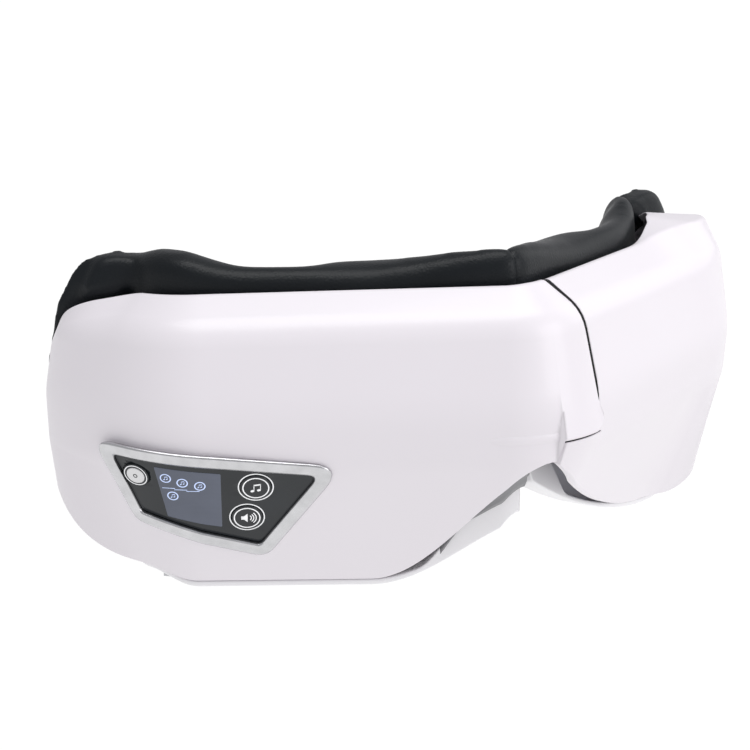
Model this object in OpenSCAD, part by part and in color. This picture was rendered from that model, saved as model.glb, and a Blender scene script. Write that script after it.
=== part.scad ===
// Foldable eye massager mask. Two lobes meet at the nose, and fold about one upright pin.
// Each lobe is swept along its own front line: a nose arc about the pin, a flat brow, and a temple bend.
// A place on a lobe is told as (along, depth, height): along the front line from the fold plane,
// depth into the body from the front line, and height over the table.

/* [Lobes] */
// Height of the front shells over the lower lip
shell_h = 70; // [60:1:80]
// Length of the flat brow between the nose arc and the temple bend
brow_len = 68.4; // [60:0.2:76]
// Angle by which each open lobe leans back from straight across
brow_lean = 28.5; // [24:0.5:32]
// Radius of the nose arc at the ridge, which is the pin's depth
nose_r = 26.5; // [24:0.5:30]
// Radius of the temple bend
temple_r = 38; // [34:1:44]
// Turn of the temple bend
temple_turn = 73; // [60:1:80]
// Thickness of the front shells
wall = 2.2; // [1.8:0.1:2.6]

/* [Front profile] */
// Height of the white lip that shows under the shells
lip_h = 1.6; // [1.2:0.1:2.4]
// Height of the ridge between brow and lower face, over the shell's lower edge
ridge_z = 37.3; // [32:0.1:42]
// Height of the line between brow and top bevel, over the shell's lower edge
bevel_z = 63.8; // [58:0.1:66]
// Inward depth of the front at the lower edge
foot_in = 16.7; // [12:0.1:20]
// Inward depth of the front at the bevel line
bevel_in = 6.4; // [4:0.1:8]
// Inward depth of the front at the top edge
top_in = 16.4; // [12:0.1:17]
// Fall of the top edge from the nose to the temple, per millimetre
top_fall = 0.0235; // [0:0.0005:0.03]

/* [Nose] */
// Height of the left shell's nose notch
notch_h = 31.5; // [26:0.5:34]
// Reach of the left shell's nose notch along the lobe
notch_reach = 43; // [36:1:50]
// Reach of the right shell's longer, flatter notch
right_reach = 84; // [80:1:100]
// Height of the white lip's own notch
lip_notch_h = 17; // [14:0.5:20]
// Angle that the left brow band laps over the right lobe
tab_turn = 31; // [14:1:32]
// Depth of the step from the brow band down to the right lobe
tab_step = 1.85; // [1.6:0.05:2.2]

/* [Fold] */
// Angle by which the right lobe folds in
fold_range = 85; // [60:1:88]
// Radius of the hinge pin
pin_r = 1.5; // [1.2:0.1:1.8]

/* [Buttons] */
// Travel of the three buttons
button_travel = 0.8; // [0.5:0.1:1]
// Radius of the power button
power_r = 3.1; // [2.6:0.1:3.4]
// Radius of the music and volume buttons
key_r = 3.5; // [3:0.1:3.8]

/* [Hidden] */
$fn = 48;
gap = 0.3;                                  // between pieces that don't touch
rad = PI / 180;
nose_len = nose_r * brow_lean * rad;
brow_end = nose_len + brow_len;
end_s = brow_end + temple_r * temple_turn * rad;
tab_s = -nose_r * tab_turn * rad;
barrel_s = -nose_r * (fold_range - tab_turn + 7) * rad;
face_tilt = atan(foot_in / ridge_z);        // lean of the lower face
wall_in = 22.3;                             // front of the rear casing's wall
wall_out = 24.5;                            // back of the rear casing's wall
lip_in = 17.1;                              // front of the lower lip
lip_t = 1.3;
pad_in = wall_out + gap;
pad_top = 74.9;
fold_slope = tan(90 - brow_lean - fold_range / 2) - 0.03;  // the pads keep outside this wedge
eye_s = 42;
eye_z = 38;
eye_w = 43;
eye_h = 39;
strap_w = 26;
strap_t = 1.6;
strap_back = 62;                            // how far the slack strap bows out behind the anchors
anchor_len = 9;
anchor_z = 35;
body_depth = 146.5;                         // front of the nose to the back of the strap
sleeve_half = 62;                           // half the turn of the gaiter's sleeve
hinge_z0 = 40;
hinge_z1 = 61.5;

// ---------- the front line and places on it ----------
function clamp(v, lo, hi) = max(lo, min(hi, v));
function steps(a, b, n) = [for (i = [0 : n]) a + (b - a) * i / n];
function smooth(t) = let (c = clamp(t, 0, 1)) c * c * (3 - 2 * c);

// Turn of the front line at a length s from the fold plane
function turn_at(s) = s < nose_len ? s / nose_r / rad
    : s < brow_end ? brow_lean
    : brow_lean + (s - brow_end) / temple_r / rad;
function line_at(s) =
    let (b = turn_at(s))
    s < nose_len ? [nose_r * sin(b), nose_r * (1 - cos(b))]
    : let (p = [nose_r * sin(brow_lean), nose_r * (1 - cos(brow_lean))])
      s < brow_end ? p + (s - nose_len) * [cos(brow_lean), sin(brow_lean)]
    : p + brow_len * [cos(brow_lean), sin(brow_lean)]
        + temple_r * [sin(b) - sin(brow_lean), cos(brow_lean) - cos(b)];
function place(s, depth, z) =
    let (b = turn_at(s), p = line_at(s))
    [p[0] - depth * sin(b), p[1] + depth * cos(b) - body_depth / 2, z];

module at(s, depth, z) { translate(place(s, depth, z)) rotate([0, 0, turn_at(s)]) children(); }
module left() { mirror([1, 0, 0]) children(); }
// Local frame on the sloping lower face: X along the lobe, Y into the body, Z up the face
module on_face(s, z) { at(s, front_in(z), z) rotate([face_tilt, 0, 0]) children(); }
module on_hinge(z) { translate([0, nose_r - body_depth / 2, z]) children(); }

// Sweeps a closed profile, one list of [depth, height] for each length in stations. A tunnel [i0, i1, j, k]
// opens the body from station i0 to i1, between the profile's side after point j and its side after point k
module sweep(stations, profiles, tunnels = []) {
    m = len(profiles[0]);
    last = len(stations) - 1;
    points = [for (i = [0 : last]) for (q = profiles[i]) place(stations[i], q[0], q[1])];
    is_open = function(i, j)
        len([for (t = tunnels) if (i >= t[0] && i < t[1] && (j == t[2] || j == t[3])) 1]) > 0;
    sides = [for (i = [0 : last - 1]) for (j = [0 : m - 1]) if (!is_open(i, j))
        let (k = (j + 1) % m) [i * m + j, (i + 1) * m + j, (i + 1) * m + k, i * m + k]];
    walls = [for (t = tunnels) for (i = [t[0] : t[1] - 1])
        let (a = i * m, b = a + m, j = t[2], k = t[3], j1 = (j + 1) % m, k1 = (k + 1) % m)
        each [[a + j, b + j, b + k1, a + k1], [b + j1, a + j1, a + k, b + k]]];
    ends = [for (t = tunnels)
        let (a = t[0] * m, b = t[1] * m, j = t[2], k = t[3], j1 = (j + 1) % m, k1 = (k + 1) % m)
        each [[a + j1, a + j, a + k1, a + k], [b + j, b + j1, b + k, b + k1]]];
    faces = concat([[for (j = [0 : m - 1]) j]], sides, walls, ends,
                   [[for (j = [m - 1 : -1 : 0]) last * m + j]]);
    p = profiles[0];
    turn = [for (j = [0 : m - 1]) cross(p[j], p[(j + 1) % m])] * [for (q = p) 1];
    polyhedron(points, turn > 0 ? faces : [for (f = faces) [for (k = [len(f) - 1 : -1 : 0]) f[k]]]);
}

// ---------- layout of the control panel on the left lower face ----------
// Corners of the panel's window as [along, height]: nose top, temple top, temple foot, nose foot
panel_window = [[55.6, 30.6], [103.6, 35.2], [99.6, 20.6], [68.4, 12.2]];
bezel_rim = 3.4;
panel_mid = 78;
power_at = [98.4, 30.2];
music_at = [69.4, 27.6];
volume_at = [71.4, 19.4];
display_at = [[77.2, 31.4], [93.2, 33], [91.8, 19.6], [77, 16.8]];

// The panel's opening in the left shell, as heights at a length s
function between(a, b, s) = a[1] + (b[1] - a[1]) * (s - a[0]) / (b[0] - a[0]);
panel_hole = [panel_window[0] + [-3, 1.4], panel_window[1] + [2.6, 1.6], panel_window[2] + [2.2, -2.2],
              panel_window[3] + [-1.2, -2.6]];
function hole_high(s) = between(panel_hole[0], panel_hole[1], s) + 0.2;
function hole_low(s) = min(hole_high(s) - 0.4,
    s < panel_hole[3][0] ? between(panel_hole[0], panel_hole[3], s)
    : s < panel_hole[2][0] ? between(panel_hole[3], panel_hole[2], s)
    : between(panel_hole[2], panel_hole[1], s));

// ---------- profile of the front ----------
function end_drop(s) = 3 * smooth((s - end_s + 26) / 26)
    + 6 * (1 - sqrt(1 - pow(clamp((s - end_s + 12) / 12.5, 0, 1), 2)));
function top_at(s) = lip_h + shell_h - top_fall * max(s, 0) - end_drop(s);
function bevel_at(s) = lip_h + bevel_z - top_fall * max(s, 0) - end_drop(s);
// The section goes flatter toward the temple, and sooner on the right, which has no panel
function flatness(s, side) = side < 0 ? 1 - 0.65 * smooth((s - 106) / 24) : 1 - 0.5 * smooth((s - 72) / 34);
// Extra depth of the right lobe's broad top, and of the pad behind it
function shelf(s, side) = side < 0 ? 0 : s < 0 ? -1.8 : 5.5 * smooth((s - 62) / 30);
function front_in(z) = abs(z - lip_h - ridge_z) < 0.01 ? 0.2
    : z < lip_h + ridge_z ? foot_in * (1 - (z - lip_h) / ridge_z)
    : bevel_in * (z - lip_h - ridge_z) / (bevel_z - ridge_z);

end_steps = steps(end_s - 12, end_s - 2, 5);  // closer stations where the lobe's end rounds off

// The lower edge rises round the temple's corner
function temple_rise(s) = 3.5 * smooth((s - 84) / 22) + 17 * pow(clamp((s - end_s + 26) / 26, 0, 1), 2.4);
function left_edge(s) = lip_h + temple_rise(s)
    + (s < 0.1 ? ridge_z - 0.6 : notch_h * (0.5 + 0.5 * cos(180 * min(s / notch_reach, 1))));
function right_edge(s) = lip_h + temple_rise(s)
    + (s < 0 ? notch_h + 2 : (notch_h - 0.6) * pow(clamp(1 - s / right_reach, 0, 1), 1.7));
function left_lip(s) = temple_rise(s) + lip_notch_h * (0.5 + 0.5 * cos(180 * min(s / notch_reach, 1)));
function right_lip(s) = right_edge(s) - lip_h;
function lip_edge(s, side) = side < 0 ? left_lip(s) : right_lip(s);
function skirt_h(s) = lip_t + 0.05 + 6.8 * smooth((32 - s) / 12);

// Outer face from the lower edge to the top, then the inner face back down. low and high are the
// heights on the lower face between which an opening can be made
function shell_foot(lo) = lo + min(0.7, (lip_h + ridge_z - lo) * 0.3);
function shell_brow(lo) = max(lip_h + ridge_z - 1.4, lo + (lip_h + ridge_z - lo) * 0.8);
// The lower face and the rest are stepped in apart, by foot_step and step. sink lowers the bevel and top
function shell_profile(s, lo, side, t, low, high, foot_step = 0, step = 0, sink = 0) =
    let (k = flatness(s, side), sh = shelf(s, side), ridge = lip_h + ridge_z - (side < 0 ? 0 : 1),
         bev = bevel_at(s) - sink, top = top_at(s) - sink + 0.4 * sh, in = bevel_in * k + step,
         back = top_in + sh + step, out = min(top_in * k + step, back))
    concat(
        [[front_in(lo) * k + foot_step + 0.7, lo]],
        [for (z = [shell_foot(lo), low, high, shell_brow(lo)]) [front_in(z) * k + foot_step, z]],
        [[step + 0.12 + (side < 0 ? 0 : 0.35), ridge], [front_in(ridge + 2.6) * k + step, ridge + 2.6],
         [in - 0.35, bev - 1.4], [in + 0.45 * k, bev], [in + 1.9 * k, bev + 1.1],
         [out - 1.2 * k, top - 0.7], [out, top - 0.2], [back + 0.8, top - 0.7 + 0.3 * sh],
         [back - 0.6, top - 2.1 + 0.3 * sh], [in + t + 0.2, bev - 0.9], [in + t - 0.2, bev - 2.2],
         [step + t + (side < 0 ? 0 : 0.3), ridge]],
        [for (z = [high, low]) [front_in(z) * k + foot_step + t, z]],
        [[front_in(lo) * k + foot_step + t + 0.2, lo]]);

function left_wall(s) = 1.5 + (wall - 1.5) * smooth((s - nose_len) / 12);
// The two heights of a plain section, evenly spread
function third(lo, i) = let (a = shell_foot(lo), b = shell_brow(lo)) a + (b - a) * i / 3;

module left_shell_body() {
    round_end = function(x) let (d = clamp(1 - (x - tab_s) / 3, 0, 1)) 3 * (1 - sqrt(1 - d * d));
    before = concat(steps(tab_s, -2.2, 4), [-0.2, 0.2], steps(3, notch_reach, 11));
    across = concat([panel_hole[0][0], 56, 61, panel_hole[3][0], 74, brow_end],
                    steps(brow_end + 4, panel_hole[2][0], 5), [panel_hole[1][0]]);
    after = concat([panel_hole[1][0] + 3.2, 114], end_steps, [end_s - 1, end_s]);
    s = concat(before, across, after);
    sweep(s, [for (x = s)
        let (lo = left_edge(x) + round_end(x), plain = x < panel_hole[0][0] || x > panel_hole[1][0])
        shell_profile(x, lo, -1, left_wall(x), plain ? third(lo, 1) : hole_low(x),
                      plain ? third(lo, 2) : hole_high(x))],
        [[len(before), len(before) + len(across) - 1, 2, 17]]);
}
// The right shell is stepped in all round the hinge, and then only where the left brow band lies on it
module right_shell_body() {
    lap = -tab_s + 0.4;
    s = concat(steps(barrel_s, -3, 6), [-0.2, 0.5, 0.8], steps(3, lap, 4), [lap + 0.3], steps(18, 60, 13),
               [72, brow_end], steps(brow_end + 4, end_s - 14, 8), end_steps, [end_s - 1, end_s]);
    sweep(s, [for (x = s)
        let (lo = right_edge(x), lapped = x < lap + 0.1)
        shell_profile(x, lo, 1, wall, third(lo, 1), third(lo, 2),
                      x < 0.6 ? tab_step : 0, lapped ? tab_step : 0, lapped ? 1.6 : 0)]);
}

// ---------- control panel ----------
// The lower face between two depths under its surface, over the panel's length
module face_slab(d0, d1) {
    s = steps(46, 112, 22);
    z0 = 4;
    z1 = lip_h + ridge_z - 0.4;
    sweep(s, [for (x = s) [[front_in(z0) + d0, z0], [front_in(z1) + d0, z1],
                           [front_in(z1) + d1, z1], [front_in(z0) + d1, z0]]]);
}
// A column through the lower face with the given corners, grown by a margin and rounded
module face_column(corners, grow, r) {
    o = place(panel_mid, front_in(23), 23);
    b = turn_at(panel_mid);
    flat = [for (c = corners)
        let (v = place(c[0], front_in(c[1]), c[1]) - o,
             along = v[0] * cos(b) + v[1] * sin(b),
             inward = -v[0] * sin(b) + v[1] * cos(b))
        [along, v[2] * cos(face_tilt) - inward * sin(face_tilt)]];
    on_face(panel_mid, 23) rotate([90, 0, 0]) translate([0, 0, -40])
        linear_extrude(80) offset(r = r, $fn = 24) offset(delta = grow - r) polygon(flat);
}
module face_plate(corners, grow, r, d0, d1) {
    intersection() {
        face_slab(d0, d1);
        face_column(corners, grow, r);
    }
}
module button_bores(clear) {
    for (b = [[power_at, power_r], [music_at, key_r], [volume_at, key_r]])
        on_face(b[0][0], b[0][1]) rotate([90, 0, 0]) cylinder(r = b[1] + clear, h = 12, center = true);
}

module left_front_shell() { color("white") left() left_shell_body(); }
module right_front_shell() { color("white") right_shell_body(); }

module panel_bezel() {
    color("silver") left() difference() {
        face_plate(panel_window, bezel_rim, 4.5, -0.9, 1.9);
        face_column(panel_window, 0, 1.6);
    }
}
module panel_glass() {
    color([0.1, 0.12, 0.14]) left() difference() {
        face_plate(panel_window, -gap, 1.4, 0.5, 1.7);
        button_bores(0.06);
    }
}
module display_module() {
    color([0.35, 0.38, 0.45]) left() face_plate(display_at, 0, 0.5, 1.9, 3.1);
}
module panel_board() {
    color("darkgreen") left() {
        on_face(76.5, 23) translate([-9.5, 4.3, -6]) cube([19, 1, 12]);
        on_face(power_at[0], power_at[1]) translate([-3, 4.3, -3]) cube([6, 1, 6]);
    }
}

// A key cap, its front edge chamfered
module key_cap(r, c) {
    color(c) rotate([-90, 0, 0]) {
        translate([0, 0, -0.1]) cylinder(r = r, h = 2.3);
        translate([0, 0, -0.4]) cylinder(r1 = r - 0.6, r2 = r, h = 0.3);
    }
}
module power_button() { left() on_face(power_at[0], power_at[1]) key_cap(power_r, "silver"); }
module music_button() { left() on_face(music_at[0], music_at[1]) key_cap(key_r, [0.1, 0.12, 0.14]); }
module volume_button() { left() on_face(volume_at[0], volume_at[1]) key_cap(key_r, [0.1, 0.12, 0.14]); }
module button_switches() {
    color("gold") left() for (p = [power_at, music_at, volume_at])
        on_face(p[0], p[1]) rotate([-90, 0, 0]) translate([0, 0, 3.4]) cylinder(r = 1.8, h = 0.5);
}

// ---------- rear casing ----------
function casing_top(s) = bevel_at(s) - 1.6;
port_s = 92;                                // the charging inlet, in the casing's floor
port_in = 20.9;
function casing_profile(s, side) =
    let (lo = lip_edge(s, side), low = s < nose_len + 7, top = low ? lo + lip_t + 0.5 : casing_top(s),
         mid = low ? lo + lip_t + 0.25 : top - 1.2, sk = lo + skirt_h(s), floor = lo + lip_t,
         front = s < 30 ? wall_in - 0.2 : 11.6)
    [[lip_in, lo], [port_in - 1.35, lo], [port_in + 1.35, lo], [wall_out, lo], [wall_out, top], [front, top],
     [front, mid], [wall_in, mid], [wall_in, floor], [port_in + 1.35, floor], [port_in - 1.35, floor],
     [port_in - 1.8, sk], [lip_in, sk]];
module casing(side) {
    hole = [port_s - 4.8, port_s + 4.8];
    before = concat(steps(0.15, nose_len + 6.8, 7), [nose_len + 7.4, 25, 29.8, 30.4], steps(34, 52, 5),
                    [68, brow_end]);
    s = concat(before, hole, steps(port_s + 9, end_s - 14, 3), end_steps, [end_s - 1]);
    i0 = len(before);
    sweep(s, [for (x = s) casing_profile(x, side)], side < 0 ? [[i0, i0 + 1, 1, 9]] : []);
}
// End plate between the front shell and the casing's wall
module end_plate() {
    e = [end_s - 3.2, end_s - 1.2];
    ridge = lip_h + ridge_z;
    sweep(e, [for (x = e) let (lo = left_edge(x) + 0.6, top = casing_top(x) - 2)
        [[wall + 6, lo], [wall_in - gap, lo], [wall_in - gap, top], [bevel_in + wall + 1, top],
         [wall + 1.6, ridge]]]);
}
speaker_s = 102;
speaker_z = 15;
air_at = [52, 50];                          // where the air stub passes the casing's wall
sleeve_r = 6.6;                             // outer radius of the gaiter round the hinge
module left_rear_casing() {
    color("white") left() {
        casing(-1);
        end_plate();
    }
}
module right_rear_casing() {
    color("white") {
        casing(1);
        end_plate();
    }
}

// The hinge leaf's screws, heads in front of the leaf and threads in the casing's wall
hinge_screws = [hinge_z0 + 2.3, hinge_z1 - 2.3];
leaf_mid = nose_len + 17;
module screws() {
    for (z = hinge_screws) at(leaf_mid, wall_in - 3.4, z) rotate([-90, 0, 0]) {
        translate([0, 0, -1.1]) cylinder(r = 1.7, h = 1);
        translate([0, 0, -0.2]) cylinder(r = 0.85, h = 5.5);
    }
}
module left_screws() { color("dimgray") left() screws(); }
module right_screws() { color("dimgray") screws(); }

// ---------- soft parts ----------
// The pad is thin at the nose, so that the lobes can fold, full at the brow, and full again at the temple
function pad_back(s) = min(nose_r + fold_slope * (s - nose_len) - 0.5, 35) - 2 * smooth((s - 76) / 12);
function pad_hollow(s) = 5.5 * smooth((s - 48) / 10) * smooth((82 - s) / 12);
function pad_crown(s) = pad_top + 3.6 * smooth((44 - s) / 30) + 2.6 * smooth((s - 72) / 18)
    - 1.4 * smooth((s - 110) / 20);
function eye_half(s) = eye_h / 2 * pow(max(1 - pow(abs(s - eye_s) / (eye_w / 2), 2.6), 0.02), 1 / 2.6);
function pad_profile(s, side) =
    let (nose = s < nose_len + 7, tongue = s < 30 ? 19.8 : 11.8,
         shrink = pow(clamp((s - end_s + 6) / 9, 0, 1), 2),
         seat = casing_top(s) + gap, hi = pad_crown(s) - 1.5 * shrink,
         lo = nose ? seat + 0.4 : max(4, lip_edge(s, side) + 2.2) + 8 * shrink,
         out = max(pad_back(s), pad_in + 1) - 1.2 * shrink, r = min(4, (out - pad_in) * 0.4),
         back = max(out - pad_hollow(s), pad_in + 1), f = 19.6 + shelf(s, side) + 0.6 * shrink,
         foot = nose ? lo + 0.2 : lo + 1.6 * r, head = nose ? lo + 0.8 : hi - 16,
         e = eye_half(s), in_eye = abs(s - eye_s) < eye_w / 2 + 0.01,
         zb = in_eye ? max(eye_z - e, foot + 0.4) : foot + (head - foot) / 3,
         zt = in_eye ? eye_z + e : head - (head - foot) / 3)
    [[pad_in, lo], [out - r, lo], [out, foot], [out + 0.15, zb], [out + 0.15, zt], [out, head],
     [back, hi - 9], [back - 0.3 * r, hi - 3.4], [back - r, hi - 1.1], [(f + back) / 2, hi],
     [f + 1.8, hi - 1], [f + 0.4, hi - 3.6], [f, seat + 3], [f + 0.4, seat + 1],
     [tongue, seat + 1], [tongue, seat], [pad_in, seat],
     [pad_in + 0.04, nose ? seat + 0.13 : zt], [pad_in + 0.04, nose ? seat + 0.27 : zb]];
// Past the shell's end the pad wraps forward over the edge, above the strap and in front of it
function pad_end_profile() =
    let (base = pad_profile(end_s, -1), out = base[2][0], hi = base[9][1] + 1.4, over = 52)
    [[pad_in, base[0][1]], [out - 4, base[0][1]], [out - 1, base[2][1]], base[3], base[4], [out, hi - 14],
     [out - 1, hi - 8], [out - 3, hi - 3], [out - 6, hi - 1], [18, hi], [12.5, hi - 1], [8.5, hi - 4.5],
     [4.5, hi - 12], [2.2, 52], [1.2, 32], [14, 32], [14, over], [pad_in + 0.04, over], [pad_in + 0.04, 30]];
// A rounded oval window, as points on a superellipse
function oval(w, h) = [for (a = [0 : 10 : 350])
    [w / 2 * sign(cos(a)) * pow(abs(cos(a)), 0.77), h / 2 * sign(sin(a)) * pow(abs(sin(a)), 0.77)]];
module eye_column(w, h, d0, d1) {
    at(eye_s, d0, eye_z) rotate([-90, 0, 0]) linear_extrude(d1 - d0) polygon(oval(w, h));
}
module face_pad(side) {
    before = concat(steps(0.15, nose_len + 6.8, 7));
    eye = [for (u = [-1, -0.96, -0.86, -0.68, -0.4, 0, 0.4, 0.68, 0.86, 0.96, 1]) eye_s + u * eye_w / 2];
    s = concat(before, eye, steps(eye_s + eye_w / 2 + 4, brow_end, 4), steps(brow_end + 5, end_s - 14, 7),
               end_steps, [end_s - 1, end_s + 0.4, end_s + 0.5, end_s + 2.2]);
    sweep(s, [for (x = s) x > end_s + 0.45 ? pad_end_profile() : pad_profile(x, side)],
          [[len(before), len(before) + len(eye) - 1, 3, 17]]);
}
module left_face_pad() { color("darkslategray") left() face_pad(-1); }
module right_face_pad() { color("darkslategray") face_pad(1); }

module heating_film() {
    difference() {
        eye_column(eye_w - 5, eye_h - 5, wall_out + gap, wall_out + 0.6);
        at(air_at[0], wall_out, air_at[1]) rotate([-90, 0, 0]) cylinder(r = 1.6, h = 4);
    }
}
module left_heating_film() { color("orange") left() heating_film(); }
module right_heating_film() { color("orange") heating_film(); }
module airbag() {
    eye_column(eye_w - 3, eye_h - 3, wall_out + 0.8, wall_out + 1.8);
    eye_column(eye_w - 7, eye_h - 7, wall_out + 1.7, wall_out + 2.9);
}
module left_airbag() { color("dimgray") left() airbag(); }
module right_airbag() { color("dimgray") airbag(); }

// A thin web behind the nose notch, and a sleeve behind the hinge
module web(stations, side) {
    sweep(stations, [for (x = stations) let (
        back = min(lip_edge(x, side) + skirt_h(x) - 1.2, hinge_z0 - 4.4),
        edge = side < 0 ? left_edge(max(x, 0.2)) : right_edge(x),
        front = max(edge + 2.2, back + 0.6), n1 = lip_in - gap - 0.9,
        n0 = min(max(front_in(front), 0) + 5.4, n1 - 1.2))
        [[n0, front], [n1, back], [n1 + 0.9, back], [n1 + 0.9, back + 1], [n0 + 0.4, front + 1.1]]]);
}
module nose_gaiter() {
    color("dimgray") {
        left() web(steps(0.15, 26, 30), -1);
        web(steps(0.15, 6, 6), 1);
        on_hinge(hinge_z0 - 3) rotate([0, 0, 90 - sleeve_half]) rotate_extrude(angle = 2 * sleeve_half)
            translate([sleeve_r - 1, 0]) square([1, hinge_z1 - hinge_z0 + 5.4]);
    }
}

// ---------- fold hinge ----------
ear_r = 4.4;
knuckle_z0 = hinge_z0 + 4.6;
knuckle_z1 = hinge_z1 - 4.6;
// A flat arm from the pin to the lobe's rear casing
module hinge_leaf(z0, z1) {
    difference() {
        union() {
            on_hinge(z0) cylinder(r = ear_r, h = z1 - z0);
            at(nose_len + 9, wall_in - 3.4, z0) translate([-8, 0, 0]) cube([17, 2.6, z1 - z0]);
            hull() {
                on_hinge(z0) cylinder(r = 2.4, h = z1 - z0, $fn = 32);
                at(nose_len + 3, wall_in - 2.1, z0) cylinder(r = 1.3, h = z1 - z0, $fn = 32);
            }
        }
        on_hinge(z0 - 1) cylinder(r = pin_r + 0.04, h = z1 - z0 + 2);
    }
}
module leaf_plate() { at(leaf_mid - 4.5, wall_in - 3.4, hinge_z0) cube([9, 2.6, hinge_z1 - hinge_z0]); }
module screw_holes() {
    for (z = hinge_screws) at(leaf_mid, wall_in, z) rotate([90, 0, 0]) cylinder(r = 0.95, h = 5);
}
module hinge_frame() {
    color("gray") left() difference() {
        union() {
            hinge_leaf(hinge_z0, knuckle_z0 - 0.5);
            hinge_leaf(knuckle_z1 + 0.5, hinge_z1);
            leaf_plate();
        }
        screw_holes();
    }
}
module hinge_arm() {
    color("gray") difference() {
        union() {
            hinge_leaf(knuckle_z0, knuckle_z1);
            leaf_plate();
        }
        screw_holes();
    }
}
module hinge_pin() {
    color("silver") {
        on_hinge(hinge_z0 - 1) cylinder(r = pin_r, h = hinge_z1 - hinge_z0 + 2);
        on_hinge(hinge_z0 - 1.8) cylinder(r = 2.6, h = 1.2);
        on_hinge(hinge_z1 + 0.6) cylinder(r = 2.6, h = 1.2);
    }
}
module friction_washers() {
    color("goldenrod") for (z = [knuckle_z0 - 0.45, knuckle_z1 + 0.05])
        on_hinge(z) difference() {
            cylinder(r = ear_r, h = 0.4);
            translate([0, 0, -1]) cylinder(r = pin_r + 0.04, h = 3);
        }
}

// ---------- inner parts ----------
module vibration_motor() {
    at(eye_s + 16, wall_in - gap, 24) rotate([90, 0, 0]) cylinder(r = 5, h = 3.2);
}
module left_vibration_motor() { color("silver") left() vibration_motor(); }
module right_vibration_motor() { color("silver") vibration_motor(); }
module air_pump() {
    at(46, 11.6, 50) rotate([0, 90, 0]) cylinder(r = 5.2, h = 16);
    at(61.9, 11.6, 50) rotate([0, 90, 0]) cylinder(r = 4.2, h = 7);
}
module left_air_pump() { color("lightgray") left() air_pump(); }
module right_air_pump() { color("lightgray") air_pump(); }
// Valve block with the stub that reaches through the casing's wall to the airbag
module air_valve() {
    at(air_at[0] - 3.5, 17.2, air_at[1] - 4) cube([7, 4.7, 8]);
    at(air_at[0], 21.5, air_at[1]) rotate([-90, 0, 0]) cylinder(r = 1.1, h = wall_out + 0.7 - 21.5);
}
module left_air_valve() { color("ivory") left() air_valve(); }
module right_air_valve() { color("ivory") air_valve(); }
module speaker() {
    at(speaker_s, wall_in - 1.2, speaker_z) rotate([90, 0, 0]) cylinder(r = 5, h = 2.2);
    at(speaker_s, wall_in - 3.2, speaker_z) rotate([90, 0, 0]) cylinder(r = 3, h = 1.2);
}
module left_speaker() { color("black") left() speaker(); }
module right_speaker() { color("black") speaker(); }
module main_board() {
    color("green") left() difference() {
        at(64, wall_in - 3, 29.5) cube([24, 1.2, 30]);
        at(78, wall_in, 58) rotate([-90, 0, 0]) cylinder(r = 3.2, h = 20, center = true);
    }
}
module battery() { color("dodgerblue") at(34, 12, 21.5) cube([36, 6, 22]); }
module charging_port() {
    color("silver") left() at(port_s, port_in, left_lip(port_s) + 0.2) difference() {
        translate([-4.4, -1.3, 0]) cube([8.8, 2.6, 6.4]);
        translate([-3.9, -0.85, -1]) cube([7.8, 1.7, 6]);
    }
}

// ---------- strap ----------
module strap_anchor() {
    at(end_s, 18.4, anchor_z) difference() {
        union() {
            translate([-4.2, -1.4, -strap_w / 2 + 2.1]) cube([7, 2.8, strap_w - 4.2]);
            translate([0.6, -1.4, -strap_w / 2 - 3]) cube([anchor_len, 2.8, strap_w + 6]);
        }
        translate([3.2, -5, -strap_w / 2 - 0.6]) cube([3.2, 10, strap_w + 1.2]);
    }
}
module left_strap_anchor() { color("black") left() strap_anchor(); }
module right_strap_anchor() { color("black") strap_anchor(); }

// A place behind the strap anchor, in the plan: along from its root, and depth from its middle
function behind(u, v) = let (p = place(end_s, 18.4, 0), b = turn_at(end_s))
    [p[0] + u * cos(b) - v * sin(b), p[1] + u * sin(b) + v * cos(b)];
// The strap's end turns round the anchor's bar and comes back along itself
strap_hook = [for (q = [[15, -0.95], [12.2, -0.95], [10.1, -2.7], [6.6, -2.7], [4.9, -1.2],
                        [4.9, 1.2], [6.6, 2.7], [10.1, 2.7], [12.2, 0.95]]) behind(q[0], q[1])];
anchor_tip = behind(15.5, 0.95);
// The slack strap bows out behind the anchors, and its middle sinks to the table
function strap_point(a) = [anchor_tip[0] * sign(cos(a)) * pow(abs(cos(a)), 0.75),
    anchor_tip[1] + (strap_back - 6) * pow(abs(sin(a)), 0.9)];
function strap_low(a) = anchor_z - strap_w / 2 - (anchor_z - strap_w / 2 - 0.3) * smooth(sin(a) * 1.15);
module head_strap() {
    turns = steps(0, 180, 40);
    n = len(strap_hook);
    other_hook = [for (i = [n - 1 : -1 : 0]) [-strap_hook[i][0], strap_hook[i][1]]];
    pts = concat(strap_hook, [for (a = turns) strap_point(a)], other_hook);
    hook_low = [for (q = strap_hook) strap_low(0)];
    lows = concat(hook_low, [for (a = turns) strap_low(a)], hook_low);
    last = len(pts) - 1;
    ring = [for (i = [0 : last])
        let (d = pts[min(i + 1, last)] - pts[max(i - 1, 0)], q = strap_t / 2 * [-d[1], d[0]] / norm(d))
        each [concat(pts[i] - q, lows[i]), concat(pts[i] + q, lows[i]),
              concat(pts[i] + q, lows[i] + strap_w), concat(pts[i] - q, lows[i] + strap_w)]];
    sides = [for (i = [0 : last - 1]) for (j = [0 : 3])
        let (k = (j + 1) % 4) [i * 4 + j, (i + 1) * 4 + j, (i + 1) * 4 + k, i * 4 + k]];
    color("black") polyhedron(ring, concat([[0, 1, 2, 3]], sides, [[for (j = [3 : -1 : 0]) last * 4 + j]]));
}
slider_turn = 40;
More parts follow.
